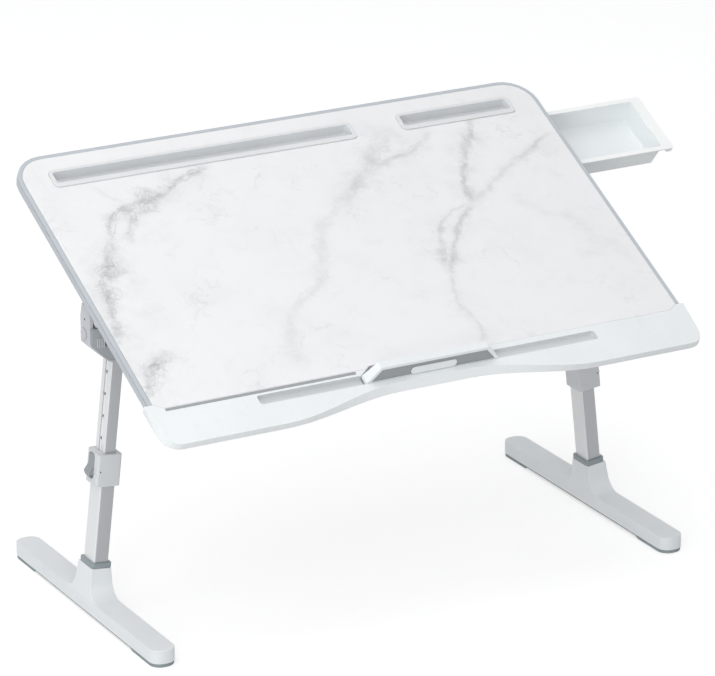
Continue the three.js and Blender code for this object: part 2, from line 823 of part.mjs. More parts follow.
function headProfile(side, top, lift = 0) {
  return [
    [headOuterX, top], [headOuterX, lift - headOuterDrop],
    [headOuterX - headKneeInset, lift - headKneeDrop],
    [headOuterX - headNeckInset, lift - headNeckDrop],
    [headOuterX - headBottomInset, lift - headBottomDrop],
    [headInnerX + headBottomInnerInset, lift - headBottomDrop],
    [headInnerX, lift - headNeckDrop], [headInnerX, top],
  ].map(([x, z]) => [side * x, pivotHeight + z]);
}

function tiltHead(side) {
  const top = pivotHeight + headCrownRadius + throughCut;
  const floor = pivotHeight - headBottomDrop - throughCut;
  const crown = rodX(headCrownRadius, side * headOuterX, side * headInnerX, 0, pivotHeight)
    .add(box(side * headOuterX, side * headInnerX, -headFront, headBack, floor, pivotHeight));
  let body = prismY(headProfile(side, headCrownRadius), -headCoreFront, headBack).intersect(crown);
  const lip = prismY(headProfile(side, headLip), -headFront, -headCoreFront)
    .subtract(prismY(headProfile(side, 2 * headLip, headLip), -headFront - throughCut, throughCut));
  body = body.add(lip);
  const cheek = [
    [headBack, -headOuterDrop], [headBack, cheekTop], [-cheekCornerY, cheekCornerZ],
    [-cheekShoulderY, cheekShoulderZ], [-cheekFront, cheekFrontTop], [-cheekFront, -headOuterDrop],
  ].map(([y, z]) => [y, pivotHeight + z]);
  body = body.add(prismX(cheek, side * headOuterX, side * (headOuterX - cheekThickness)));
  const innerCheek = [
    [headBack, -headNeckDrop], [headBack, releaseTop], [-cheekFront, 0], [-cheekFront, -headNeckDrop],
  ].map(([y, z]) => [y, pivotHeight + z]);
  body = body.add(prismX(innerCheek, side * headInnerX, side * (headInnerX + cheekThickness)));
  body = body.add(leanBlock(side, sleeveHalfX, sleeveHalfY, collarTop, innerTubeTop + fit + sleeveWall)
    .intersect(box(side * headInnerX, side * headOuterX, -sleeveHalfY, sleeveHalfY,
      pivotHeight - headBottomDrop, top)));
  body = body.subtract(box(side * (earInnerU - slideFit), side * (earOuterU + slideFit),
    -headFront - throughCut, sleeveHalfY + throughCut, pivotHeight - headSlotFloor, top));
  const taper = [
    [headOuterX, cheekTaperZ], [headOuterX - cheekTaper, cheekTop + throughCut],
    [headOuterX + throughCut, cheekTop + throughCut], [headOuterX + throughCut, cheekTaperZ],
  ].map(([x, z]) => [side * x, pivotHeight + z]);
  body = body.subtract(prismY(taper, -headFront - throughCut, headBack + throughCut));
  body = body.subtract(rodX(tiltPinRadius + fit, side * (headInnerX - throughCut),
    side * (headOuterX + throughCut), 0, pivotHeight));
  body = body.subtract(rodX(headHoleRadius, side * (headOuterX - headHoleDepth),
    side * (headOuterX + throughCut), -headHoleY, pivotHeight + headHoleZ));
  return body.subtract(leanBlock(side, innerTubeX / 2 + fit, innerTubeY / 2 + fit,
    collarTop, innerTubeTop + fit));
}

function tiltPin(side) {
  return rodX(tiltPinRadius, side * (headInnerX + fit), side * (headOuterX - fit), 0, pivotHeight);
}

function pivotCap(side) {
  return rodX(pivotCapRadius, side * (headOuterX + fit), side * (headOuterX + fit + pivotCapHeight),
    0, pivotHeight);
}

function releaseLever(side) {
  const back = releaseThickness - headFront;
  const outer = headOuterX - cheekThickness - fit;
  const inner = headInnerX + cheekThickness + fit;
  const bottom = pivotHeight - headBottomDrop;
  const top = pivotHeight + releaseTop;
  const plate = box(side * headOuterX, side * headInnerX, -headFront, releaseCover - headFront, bottom, top);
  const room = box(side * outer, side * inner, -headFront, back, bottom, top).add(plate);
  let body = prismY(headProfile(side, releaseTop, headLip + fit), -headFront, back).intersect(room);
  body = body.subtract(box(side * (earOuterU + releaseInset), side * (headInnerX - throughCut),
    -headFront - throughCut, back + throughCut, pivotHeight - releaseNotchDrop, top + throughCut));
  for (let i = 0; i < releaseRibs; i += 1) {
    const x = headOuterX - releaseRibInset - i * releaseRibPitch;
    body = body.add(box(side * x, side * (x - releaseRibWidth), -headFront - releaseRibDepth,
      -headFront + releaseCover, pivotHeight - releaseRibBottom, pivotHeight - releaseRibTop));
  }
  return body;
}

function tubeSection(width, depth, radius, from, to) {
  return prismZ(roundedRect(-width / 2, width / 2, -depth / 2, depth / 2, radius), from, to);
}

function hollowTube(width, depth, wall, radius, from, to) {
  return tubeSection(width, depth, radius, from, to).subtract(
    tubeSection(width - 2 * wall, depth - 2 * wall, radius - wall / 2, from - throughCut, to + throughCut));
}

function innerTube(side) {
  let body = hollowTube(innerTubeX, innerTubeY, innerTubeWall, innerTubeRadius,
    innerTubeBottom, innerTubeTop);
  const face = innerTubeX / 2;
  body = body.subtract(box(side * (face - grooveDepth), side * (face + throughCut),
    -grooveHalf, grooveHalf, innerTubeBottom - throughCut, innerTubeTop + throughCut));
  for (let i = 0; i < holeCount; i += 1) {
    body = body.subtract(rodX(holeRadius, side * (face - innerTubeWall - throughCut),
      side * (face + throughCut), 0, detentZ + i * holePitch));
  }
  return body;
}

function tubePlug() {
  const inset = innerTubeWall + fit;
  return tubeSection(innerTubeX - 2 * inset, innerTubeY - 2 * inset, innerTubeRadius / 2,
    innerTubeBottom, innerTubeBottom + plugThickness);
}

function outerTube() {
  return hollowTube(outerTubeX, outerTubeY, outerTubeWall, outerTubeRadius,
    outerTubeBottom, outerTubeTop);
}

function collar(side) {
  const outline = [
    ...arc(collarOuterX - collarRadius, collarRadius - collarFrontY, collarRadius, -quarter, 0),
    ...arc(collarOuterX - collarBackRadius, collarBackY - collarBackRadius, collarBackRadius, 0, quarter),
    ...arc(collarRadius - collarInnerX, collarBackY - collarRadius, collarRadius, quarter, 2 * quarter),
    ...arc(collarRadius - collarInnerX, collarRadius - collarFrontY, collarRadius, 2 * quarter, 3 * quarter),
  ].map(([x, y]) => [side * x, y]);
  let body = prismZ(outline, collarBottom, collarTop);
  body = body.subtract(tubeSection(outerTubeX + 2 * fit, outerTubeY + 2 * fit, outerTubeRadius,
    collarBottom - throughCut, outerTubeTop + fit));
  body = body.subtract(tubeSection(innerTubeX + 2 * fit, innerTubeY + 2 * fit, innerTubeRadius,
    collarBottom, collarTop + throughCut));
  body = body.subtract(prismX(roundedRect(-leverPocketHalf, leverPocketHalf, leverPocketBottom,
    leverPocketTop, leverCornerRadius), side * (collarOuterX - leverPocketDepth),
  side * (collarOuterX + throughCut)));
  body = body.subtract(rodY(leverPinRadius + fit, -leverPinHalf - fit, leverPinHalf + fit,
    side * leverPivotX, leverPivotZ));
  body = body.subtract(rodX(detentRadius + fit, 0, side * collarOuterX, 0, detentZ));
  return body.subtract(rodY(pinMarkRadius, -collarFrontY - throughCut, pinMarkDepth - collarFrontY,
    side * pinMarkX, pinMarkZ));
}

function heightLever(side) {
  const profile = [
    ...arc(leverPivotX, leverPivotZ, leverHeadRadius, 0, 2 * quarter),
    [leverPivotX - leverHeadRadius, leverHeelZ],
    [leverBackX + leverHeadRadius, leverTipZ],
    [leverTipX, leverTipZ],
    [collarOuterX + leverBulge, leverBulgeZ],
    [collarOuterX + fit, leverBreakZ],
  ].map(([x, z]) => [side * x, z]);
  const face = prismX(roundedRect(-leverHalf, leverHalf, leverTipZ, leverPivotZ + leverHeadRadius,
    leverCornerRadius), 0, side * (collarOuterX + 2 * leverBulge));
  return prismY(profile, -leverHalf, leverHalf).intersect(face).subtract(rodY(leverPinRadius + fit,
    -leverHalf - throughCut, leverHalf + throughCut, side * leverPivotX, leverPivotZ));
}

function leverPin(side) {
  return rodY(leverPinRadius, -leverPinHalf, leverPinHalf, side * leverPivotX, leverPivotZ);
}

function detentPin(side) {
  const tip = innerTubeX / 2 - grooveDepth + fit;
  const tail = leverPivotX - leverHeadRadius - fit;
  return rodX(detentRadius, side * tip, side * tail, 0, detentZ);
}

function ringBand() {
  const shell = prismZ(roundedRect(-ringHalfX, ringHalfX, -ringHalfY, ringHalfY, ringRadius),
    footNeckTop + fit, footNeckTop + fit + ringHeight);
  return shell.subtract(tubeSection(outerTubeX + 2 * fit, outerTubeY + 2 * fit, outerTubeRadius,
    footNeckTop, footNeckTop + 2 * ringHeight));
}

// Foot: side profile, front profile and plan all cut the same block

function footCentreX(side) {
  return side * (legFootX - Math.tan(splayAngle) * footTop);
}

function footShell(side) {
  const centre = footCentreX(side);
  const neckEnd = footNeckTop + ringHeight;
  const neckShift = side * (legFootX - Math.tan(splayAngle) * neckEnd) - centre;
  const fillet = arc(footFilletStart, footTop + footFilletRadius, footFilletRadius,
    -quarter, -2 * quarter);
  const halfProfile = [
    [footHalfLength, footBottom], [footHalfLength, footTop], ...fillet,
    [footNeckHalfY, neckEnd],
  ];
  const sideProfile = [...halfProfile, ...halfProfile.map(([y, z]) => [-y, z]).reverse()];
  const frontProfile = [
    [-footHalfWidth, footBottom], [footHalfWidth, footBottom], [footHalfWidth, footTop],
    [neckShift + footNeckHalfX, neckEnd], [neckShift - footNeckHalfX, neckEnd],
    [-footHalfWidth, footTop],
  ].map(([x, z]) => [centre + x, z]);
  let body = prismX(sideProfile, centre - 2 * footHalfWidth, centre + 2 * footHalfWidth)
    .intersect(prismY(frontProfile, -footHalfLength, footHalfLength))
    .intersect(prismZ(roundedRect(centre - footHalfWidth, centre + footHalfWidth,
      -footHalfLength, footHalfLength, footEndRadius), footBottom, neckEnd));
  body = body.subtract(leanBlock(side, footHalfLength, footHalfLength, footNeckTop, pivotHeight));
  return body.subtract(leanBlock(side, outerTubeX / 2 + fit, outerTubeY / 2 + fit,
    socketFloor, pivotHeight));
}

function footSole(side) {
  const centre = footCentreX(side);
  const padInner = footHalfLength - solePadLength;
  const half = [
    [padInner - soleRamp, soleHeight - soleThin], [padInner, 0], [footHalfLength, 0],
    [footHalfLength, soleHeight],
  ];
  const profile = [...half, ...half.map(([y, z]) => [-y, z]).reverse()];
  const plan = prismZ(roundedRect(centre - footHalfWidth + soleInset, centre + footHalfWidth - soleInset,
    soleInset - footHalfLength, footHalfLength - soleInset, footEndRadius), 0, soleHeight);
  return prismX(profile, centre - footHalfWidth, centre + footHalfWidth).intersect(plan);
}

// Assembly

const stand = new THREE.Group();

const tableFrame = new THREE.Group();
tableFrame.rotation.x = tiltAngle;
tableFrame.position.set(0,
  -pivotV * Math.cos(tiltAngle) - pivotDrop * Math.sin(tiltAngle),
  pivotHeight - pivotV * Math.sin(tiltAngle) + pivotDrop * Math.cos(tiltAngle));
stand.add(tableFrame);

tableFrame.add(mesh('board_core', boardCore(), 'board'));
tableFrame.add(mesh('marble_skin', marbleSkin(), 'marble'));
tableFrame.add(mesh('edge_band', edgeBand(), 'band'));
tableFrame.add(mesh('wrist_rest', wristRest(), 'rest'));
tableFrame.add(mesh('inlay_strip', inlayStrip(), 'inlay'));
tableFrame.add(mesh('tablet_slot_tray', slotTray(tabletTrayLeft, tabletTrayRight), 'tray'));
tableFrame.add(mesh('phone_slot_tray', slotTray(phoneTrayLeft, phoneTrayRight), 'tray'));
tableFrame.add(mesh('drawer_rail_front', frontRail(), 'rail'));
tableFrame.add(mesh('drawer_rail_back', backRail(), 'rail'));
tableFrame.add(mesh('drawer_stop', drawerStop(), 'rail'));
const footSeat = -topThickness - fit - railFootThickness;
railSpots.forEach((u, i) => {
  tableFrame.add(mesh(`rail_screw_front_${i + 1}`, screw(u, frontScrewV, footSeat), 'steel'));
});
backRailSpots.forEach((u, i) => {
  tableFrame.add(mesh(`rail_screw_back_${i + 1}`, screw(u, backScrewV, footSeat), 'steel'));
});
tableFrame.add(mesh('drawer_tray', drawerTray(), 'drawer'));
tableFrame.add(mesh('stopper_bar', stopperBody(), 'rest'));
tableFrame.add(mesh('stopper_panel', stopperPanel(), 'dark'));
tableFrame.add(mesh('stopper_grip', stopperGrip(), 'rest'));
tableFrame.add(mesh('stopper_pin', rodX(stopperPinRadius, fit - stopperPinHalf, stopperPinHalf - fit,
  pinV, pinW), 'steel'));

for (const [label, side] of [['left', -1], ['right', 1]]) {
  tableFrame.add(mesh(`fold_base_${label}`, foldBase(side), 'housing'));
  tableFrame.add(mesh(`fold_pin_${label}`, foldPin(side), 'steel'));
  tableFrame.add(mesh(`swing_bracket_${label}`, swingBracket(side), 'housing'));

  stand.add(mesh(`tilt_head_${label}`, tiltHead(side), 'housing'));
  stand.add(mesh(`tilt_pin_${label}`, tiltPin(side), 'steel'));
  stand.add(mesh(`pivot_cap_${label}`, pivotCap(side), 'housing'));
  stand.add(mesh(`tilt_release_${label}`, releaseLever(side), 'dark'));

  const leanFrame = new THREE.Group();
  leanFrame.rotation.y = -side * splayAngle;
  leanFrame.position.set(side * legFootX, 0, 0);
  stand.add(leanFrame);
  leanFrame.add(mesh(`inner_tube_${label}`, innerTube(side), 'aluminium'));
  leanFrame.add(mesh(`tube_plug_${label}`, tubePlug(), 'dark'));
  leanFrame.add(mesh(`outer_tube_${label}`, outerTube(), 'aluminium'));
  leanFrame.add(mesh(`collar_${label}`, collar(side), 'housing'));
  leanFrame.add(mesh(`height_lever_${label}`, heightLever(side), 'dark'));
  leanFrame.add(mesh(`lever_pin_${label}`, leverPin(side), 'steel'));
  leanFrame.add(mesh(`detent_pin_${label}`, detentPin(side), 'steel'));
  leanFrame.add(mesh(`ring_band_${label}`, ringBand(), 'ring'));

  stand.add(mesh(`foot_${label}`, footShell(side), 'foot'));
  stand.add(mesh(`foot_sole_${label}`, footSole(side), 'rubber'));
}

// The origin lies on the floor under the middle of everything, drawer included
stand.updateMatrixWorld(true);
const extent = new THREE.Box3().setFromObject(stand, true);
stand.position.set(-(extent.min.x + extent.max.x) / 2, -(extent.min.y + extent.max.y) / 2, -extent.min.z);

export default stand;
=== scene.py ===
import json
import math

import bmesh
import bpy
from mathutils import Matrix, Vector


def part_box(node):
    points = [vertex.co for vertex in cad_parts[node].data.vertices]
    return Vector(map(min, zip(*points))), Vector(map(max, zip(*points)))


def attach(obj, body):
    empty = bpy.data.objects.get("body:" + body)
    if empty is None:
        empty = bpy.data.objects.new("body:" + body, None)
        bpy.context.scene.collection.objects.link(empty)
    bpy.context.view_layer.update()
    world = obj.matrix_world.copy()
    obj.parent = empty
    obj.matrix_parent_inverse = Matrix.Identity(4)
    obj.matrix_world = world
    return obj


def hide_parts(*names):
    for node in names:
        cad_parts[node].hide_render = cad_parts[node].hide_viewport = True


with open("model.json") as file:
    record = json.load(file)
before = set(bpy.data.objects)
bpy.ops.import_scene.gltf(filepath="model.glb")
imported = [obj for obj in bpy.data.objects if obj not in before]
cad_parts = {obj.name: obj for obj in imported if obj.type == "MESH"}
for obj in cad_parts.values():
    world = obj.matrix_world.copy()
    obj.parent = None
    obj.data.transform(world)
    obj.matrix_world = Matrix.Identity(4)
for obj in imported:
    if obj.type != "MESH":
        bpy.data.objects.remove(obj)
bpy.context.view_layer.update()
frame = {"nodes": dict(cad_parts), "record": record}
BODY_OF = {node: body for body, nodes in frame["record"]["behaviour"]["bodies"].items() for node in nodes}
SLOT_OF = {part["node"]: part["material_slot"] for part in frame["record"]["subparts"]}

MM = 0.001

# The tilted board: its origin is the middle of the top face's front edge, X to the right, Y back and Z up
# out of the top face. The laminate skin starts a little behind that edge.
TILT = math.radians(27)
COS, SIN = math.cos(TILT), math.sin(TILT)
SKIN_FRONT = 0.3 * MM
SKIN_THICK = 1.2 * MM
skin_low, skin_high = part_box("marble_skin")
BOARD_ORIGIN = Vector((
    (skin_low.x + skin_high.x) / 2,
    skin_low.y - SKIN_FRONT * COS,
    skin_low.z - SKIN_FRONT * SIN + SKIN_THICK * COS,
))
TO_BOARD = (Matrix.Translation(BOARD_ORIGIN) @ Matrix.Rotation(TILT, 4, "X")).inverted()

# The legs: the point of the floor under the tilt axis, and each leg's own frame, with Z along its tubes
SPLAY = math.radians(6.5)
PIVOT_HEIGHT = 341 * MM
PIVOT_BACK = 174.5 * MM
PIVOT_DROP = 51.9 * MM
FLOOR_ORIGIN = BOARD_ORIGIN + Vector((
    0,
    PIVOT_BACK * COS + PIVOT_DROP * SIN,
    PIVOT_BACK * SIN - PIVOT_DROP * COS - PIVOT_HEIGHT,
))
HEAD_OUTER = 345 * MM
LEG_TOP_INSET = 40.55 * MM
LEG_FOOT = HEAD_OUTER - LEG_TOP_INSET + math.tan(SPLAY) * PIVOT_HEIGHT
SIDES = {"left": -1, "right": 1}
TO_LEG = {
    name: (Matrix.Translation(FLOOR_ORIGIN + Vector((side * LEG_FOOT, 0, 0)))
           @ Matrix.Rotation(-side * SPLAY, 4, "Y")).inverted()
    for name, side in SIDES.items()
}


# Camera

CAMERA_FROM_BOARD = (-2.2917, -3.9644, 1.6899)
CAMERA_FORWARD = (0.4565, 0.8214, -0.3420)
FOCAL_PIXELS = 4270.2
PICTURE_WIDTH = 715
SENSOR_WIDTH = 36
FAR_CLIP = 100


def make_camera():
    camera = bpy.data.objects.new("camera", bpy.data.cameras.new("camera"))
    bpy.context.scene.collection.objects.link(camera)
    camera.location = BOARD_ORIGIN + Vector(CAMERA_FROM_BOARD)
    forward = Vector(CAMERA_FORWARD).normalized()
    camera.rotation_euler = forward.to_track_quat("-Z", "Y").to_euler()
    camera.data.sensor_width = SENSOR_WIDTH
    camera.data.lens = FOCAL_PIXELS / PICTURE_WIDTH * SENSOR_WIDTH
    camera.data.clip_end = FAR_CLIP
    bpy.context.scene.camera = camera


make_camera()


# Shader helpers

class Shader:
    """A node material with short calls for the nodes it needs."""

    def __init__(self, name):
        self.material = bpy.data.materials.new(name)
        self.material.use_nodes = True
        self.nodes = self.material.node_tree.nodes
        self.links = self.material.node_tree.links
        self.surface = self.nodes["Principled BSDF"]
        self.coordinates = self.nodes.new("ShaderNodeTexCoord").outputs["Object"]

    def put(self, value, socket):
        if isinstance(value, bpy.types.NodeSocket):
            self.links.new(value, socket)
        else:
            socket.default_value = value

    def math(self, operation, a, b=0.0, c=0.0, clamp=False):
        node = self.nodes.new("ShaderNodeMath")
        node.operation = operation
        node.use_clamp = clamp
        for value, socket in zip((a, b, c), node.inputs):
            self.put(value, socket)
        return node.outputs[0]

    def vector(self, operation, a, b=(0, 0, 0), scale=1.0):
        node = self.nodes.new("ShaderNodeVectorMath")
        node.operation = operation
        self.put(a, node.inputs[0])
        if operation not in ("LENGTH", "SCALE"):
            self.put(b, node.inputs[1])
        if operation == "SCALE":
            self.put(scale, node.inputs["Scale"])
        return node.outputs["Value" if operation == "LENGTH" else "Vector"]

    def noise(self, scale, detail, roughness=0.5, vector=None, stretch=None, output="Fac"):
        vector = self.coordinates if vector is None else vector
        if stretch:
            vector = self.vector("MULTIPLY", vector, stretch)
        node = self.nodes.new("ShaderNodeTexNoise")
        self.put(vector, node.inputs["Vector"])
        node.inputs["Scale"].default_value = scale
        node.inputs["Detail"].default_value = detail
        node.inputs["Roughness"].default_value = roughness
        return node.outputs[output]

    def cells(self, scale, vector, feature="F1"):
        node = self.nodes.new("ShaderNodeTexVoronoi")
        node.feature = feature
        node.inputs["Scale"].default_value = scale
        self.put(vector, node.inputs["Vector"])
        return node.outputs["Distance"]

    def ramp(self, factor, low, high, to_low=0.0, to_high=1.0, smooth=True):
        """Reads a factor between low and high as a value between to_low and to_high."""
        node = self.nodes.new("ShaderNodeMapRange")
        node.interpolation_type = "SMOOTHSTEP" if smooth else "LINEAR"
        for value, socket in zip((factor, low, high, to_low, to_high), node.inputs):
            self.put(value, socket)
        return node.outputs[0]

    def blend(self, factor, a, b):
        node = self.nodes.new("ShaderNodeMix")
        node.data_type = "RGBA"
        self.put(factor, node.inputs["Factor"])
        self.put(a, node.inputs["A"])
        self.put(b, node.inputs["B"])
        return node.outputs["Result"]

    def bump(self, height, distance):
        node = self.nodes.new("ShaderNodeBump")
        node.inputs["Distance"].default_value = distance
        self.put(height, node.inputs["Height"])
        self.links.new(node.outputs["Normal"], self.surface.inputs["Normal"])

    def finish(self, color, roughness, metallic=0.0, specular=0.5):
        self.put(color, self.surface.inputs["Base Color"])
        self.put(roughness, self.surface.inputs["Roughness"])
        self.surface.inputs["Metallic"].default_value = metallic
        self.surface.inputs["Specular IOR Level"].default_value = specular
        return self.material


def linear(red, green, blue):
    """A linear colour from the 0 to 255 values that a picture shows, by the sRGB curve."""
    def channel(value):
        value /= 255
        return value / 12.92 if value <= 0.04045 else ((value + 0.055) / 1.055) ** 2.4
    return (channel(red), channel(green), channel(blue), 1.0)


def shade(color, factor):
    return (color[0] * factor, color[1] * factor, color[2] * factor, 1.0)


# Finishes. Noise scales are per metre, and the depth of a bump is in millimetres.

PLASTIC_DRIFT = 0.02
PLASTIC_GRAIN_SCALE = 2600


def plastic(name, color, roughness, grain=0.02, scuffs=0.05):
    """Moulded plastic: faint colour drift, uneven gloss and a fine spark-eroded grain."""
    s = Shader(name)
    cloud = s.noise(scale=14, detail=3)
    pale, deep = shade(color, 1 + PLASTIC_DRIFT / 2), shade(color, 1 - PLASTIC_DRIFT)
    tone = s.blend(s.ramp(cloud, 0.3, 0.7), deep, pale)
    fine = s.noise(PLASTIC_GRAIN_SCALE, detail=2, roughness=0.6)
    scuff = s.noise(scale=90, detail=5, roughness=0.65, stretch=(1, 0.25, 1))
    gloss = s.ramp(scuff, 0.35, 0.75, roughness - scuffs, roughness + scuffs)
    s.bump(fine, grain * MM)
    return s.finish(tone, s.math("ADD", gloss, s.math("MULTIPLY", fine, 0.04)))


def drawn_metal(name, color, roughness, metallic):
    """Drawn aluminium: fine lines along the leg and a cloudy anodised tone."""
    s = Shader(name)
    lines = s.noise(scale=1500, detail=3, roughness=0.6, stretch=(1, 1, 0.02))
    cloud = s.noise(scale=25, detail=3)
    tone = s.blend(s.ramp(lines, 0.3, 0.7), shade(color, 0.96), color)
    tone = s.blend(s.math("MULTIPLY", cloud, 0.12), tone, shade(color, 0.88))
    rough = s.ramp(lines, 0.25, 0.75, roughness - 0.05, roughness + 0.08)
    s.bump(lines, 0.02 * MM)
    return s.finish(tone, rough, metallic)


def turned_steel(name, color):
    """Turned steel: rings round the pin and faint spots."""
    s = Shader(name)
    lines = s.noise(scale=2200, detail=2, stretch=(0.03, 1, 1))
    spots = s.noise(scale=300, detail=4, roughness=0.6)
    tone = s.blend(s.ramp(spots, 0.4, 0.7), color, shade(color, 0.82))
    s.bump(lines, 0.01 * MM)
    return s.finish(tone, s.ramp(lines, 0.2, 0.8, 0.24, 0.4), metallic=0.9)


def rubber(name, color):
    """Soles: matt rubber with a pebbled skin."""
    s = Shader(name)
    pebbles = s.cells(scale=1400, vector=s.coordinates)
    dust = s.noise(scale=60, detail=4, roughness=0.6)
    tone = s.blend(s.ramp(dust, 0.35, 0.7), shade(color, 0.9), shade(color, 1.06))
    s.bump(pebbles, 0.05 * MM)
    return s.finish(tone, s.ramp(dust, 0.3, 0.7, 0.72, 0.9), specular=0.3)


def fibreboard(name, color):
    """Raw board: fibres along its width and darker flecks."""
    s = Shader(name)
    fibres = s.noise(scale=700, detail=6, roughness=0.7, stretch=(0.35, 1, 1))
    flecks = s.noise(scale=1800, detail=2, roughness=0.6)
    tone = s.blend(s.ramp(fibres, 0.35, 0.68), shade(color, 0.86), shade(color, 1.05))
    tone = s.blend(s.ramp(flecks, 0.62, 0.72, 0.0, 0.4), tone, shade(color, 0.55))
    s.bump(fibres, 0.04 * MM)
    return s.finish(tone, s.ramp(fibres, 0.3, 0.7, 0.62, 0.8))


# Marble-pattern laminate. Each vein is a smooth curve through a few points on the board, in
# millimetres across and back, with a half-width in millimetres and a depth of grey.
# A vein that is marked BRAIDED has two thin strands beside its core, which wander on their own.
# Noise scales in the marble are per millimetre.
BRAIDED, SINGLE = True, False
VEINS = (
    ((-122, 354), (-161, 335), (-193, 322), (-226, 311), (-254, 304), (-274, 283), (-286, 260),
     4.2, 0.30, BRAIDED),
    ((-193, 321), (-214, 300), (-236, 290), (-252, 271), (-262, 250), 3.4, 0.20, BRAIDED),
    ((-202, 322), (-228, 306), (-256, 294), 11.0, 0.17, SINGLE),
    ((-286, 262), (-299, 232), (-308, 210), (-320, 192), (-328, 164), (-334, 134), (-345, 104),
     6.2, 0.29, BRAIDED),
    ((-308, 214), (-322, 180), (-331, 146), 12.0, 0.16, SINGLE),
    ((-240, 312), (-256, 330), (-272, 352), 3.2, 0.07, SINGLE),
    ((-290, 70), (-316, 60), (-331, 44), (-346, 18), 5.4, 0.22, BRAIDED),
    ((126, 350), (98, 327), (69, 300), (44, 275), (22, 256), 10.5, 0.20, BRAIDED),
    ((112, 338), (84, 316), (52, 282), (34, 266), 8.0, 0.13, SINGLE),
    ((182, 346), (149, 325), (104, 312), (84, 300), 3.6, 0.19, BRAIDED),
    ((22, 256), (-34, 214), (-60, 150), (-124, 102), (-148, 28), 7.5, 0.10, BRAIDED),
    ((243, 354), (229, 330), (206, 296), (188, 262), (180, 226), 4.6, 0.27, BRAIDED),
    ((334, 312), (288, 290), (254, 270), (219, 245), (181, 225), 3.8, 0.17, SINGLE),
    ((181, 226), (149, 213), (117, 193), (102, 165), (92, 128), 3.8, 0.22, SINGLE),
    ((181, 225), (144, 190), (119, 165), (104, 135), (96, 118), 3.4, 0.24, SINGLE),
    ((98, 118), (84, 74), (88, 34), (80, 4), 3.6, 0.15, SINGLE),
    ((244, 206), (260, 188), (286, 170), (308, 128), (330, 96), 8.0, 0.07, SINGLE),
    ((-334, 384), (-318, 336), (-322, 290), 22.0, 0.06, SINGLE),
    ((-300, 262), (-322, 210), (-336, 150), (-342, 66), 20.0, 0.08, SINGLE),
    ((124, 348), (72, 300), (30, 262), 17.0, 0.08, SINGLE),
    ((-60, 330), (-70, 316), (-74, 302), 1.2, 0.12, SINGLE),
)

# How a vein and its strands stray from their curves: noise scale, reach in millimetres, noise start
WANDERS = ((0.022, 26.0, 0.0), (0.03, 52.0, 700.0), (0.038, 44.0, 1900.0))

# A strand's share of its vein's width, the length in half-widths over which the ends thin out, and how
# fast the core and the halo fade sideways
STRAND_SHARE = 0.42
END_FADE = 4
CORE_FALLOFF = -0.9
HALO_FALLOFF = -0.34

# Places where the veins break up into light cells with grey borders: across, back and radius
CELLED = ((-218, 312, 27), (-240, 296, 20), (-306, 214, 22), (-322, 184, 24), (-318, 56, 20), (-336, 34, 18))

# The cells' scale, the width of their borders as a share of a cell, the greys of border and haze, and the
# share of a place's radius that has them in full
CELL_SCALE = 0.13
CELL_BORDER = 0.16
CELL_GREY = 0.2
CELL_HAZE = 0.045
CELL_CORE_SHARE = 0.35

GROUND = linear(240, 240, 241)
VEIN_GREY = linear(126, 127, 130)


def curve_through(s, factor, points):
    """A smooth curve of the second coordinate over the first, both read as shares of their span."""
    points = sorted(points)
    first, last = points[0][0], points[-1][0]
    low, high = min(y for _, y in points), max(y for _, y in points)
    share = s.ramp(factor, first, last, smooth=False)
    node = s.nodes.new("ShaderNodeFloatCurve")
    curve = node.mapping.curves[0]
    places = [((x - first) / (last - first), (y - low) / (high - low)) for x, y in points]
    curve.points[0].location = places[0]
    curve.points[1].location = places[-1]
    for place in places[1:-1]:
        curve.points.new(*place)
    node.mapping.update()
    s.links.new(share, node.inputs["Value"])
    return s.math("MULTIPLY_ADD", node.outputs[0], high - low, low)


def vein_marks(s, across, back, width, points, half, depth):
    """One vein's dense core and its wide halo, both thinning out at the ends."""
    spread = Vector(points[-1]) - Vector(points[0])
    along_back = abs(spread.y) >= abs(spread.x)
    if along_back:
        points = [(v, u) for u, v in points]
    run, offset = (back, across) if along_back else (across, back)
    slant = min(abs(spread.x), abs(spread.y)) / max(abs(spread.x), abs(spread.y))
    distance = s.math("ABSOLUTE", s.math("SUBTRACT", offset, curve_through(s, run, points)))
    reach = s.math("DIVIDE", distance, s.math("MULTIPLY", width, half * math.hypot(1, slant)))
    first, last = min(x for x, _ in points), max(x for x, _ in points)
    fade = END_FADE * half
    rise = s.ramp(run, first - fade, first + fade, 0, depth)
    ends = s.math("MULTIPLY", rise, s.ramp(run, last + fade, last - fade))
    core = s.math("EXPONENT", s.math("MULTIPLY", s.math("MULTIPLY", reach, reach), CORE_FALLOFF))
    halo = s.math("EXPONENT", s.math("MULTIPLY", reach, HALO_FALLOFF))
    return s.math("MULTIPLY", core, ends), s.math("MULTIPLY", halo, ends)


def cell_marks(s, point):
    """Grey borders between small cells, at the places where the veins break up."""
    edge = s.cells(CELL_SCALE, point, "DISTANCE_TO_EDGE")
    near = 0.0
    for across, back, radius in CELLED:
        away = s.vector("LENGTH", s.vector("SUBTRACT", point, (across, back, 0)))
        near = s.math("MAXIMUM", s.ramp(away, CELL_CORE_SHARE * radius, radius, 1.0, 0.0), near)
    border = s.ramp(edge, 0.0, CELL_BORDER, CELL_GREY, 0.0)
    return s.math("MULTIPLY", near, s.math("ADD", border, CELL_HAZE))


